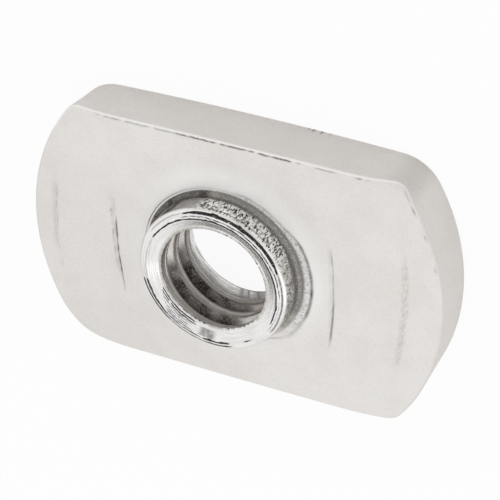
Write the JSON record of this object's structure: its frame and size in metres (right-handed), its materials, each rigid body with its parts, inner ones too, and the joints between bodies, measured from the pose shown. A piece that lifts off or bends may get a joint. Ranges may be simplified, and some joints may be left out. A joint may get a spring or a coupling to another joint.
{
  "type": "t slot nut",
  "caption": "Slot nut for framing profile: a flat plate with two long sides and two bowed ends, and a drawn collar with a threaded through hole.",
  "frame": {"origin": "on the thread's axis, in the plane of the flat seat face, which is the lowest face; the outline's centre lies 0.48 mm towards +X and 0.2 mm towards +Y of it, as the pictured piece is sheared off centre", "axes": "+Z along the thread's axis towards the collar, +X along the length from one bowed end to the other, +Y across the long sides"},
  "size_m": [0.0254, 0.0162, 0.005],
  "materials": {
    "plated_steel": "satin bright zinc plating"
  },
  "bodies": {
    "root": {"nut_body": "plated_steel"}
  },
  "joints": []
}
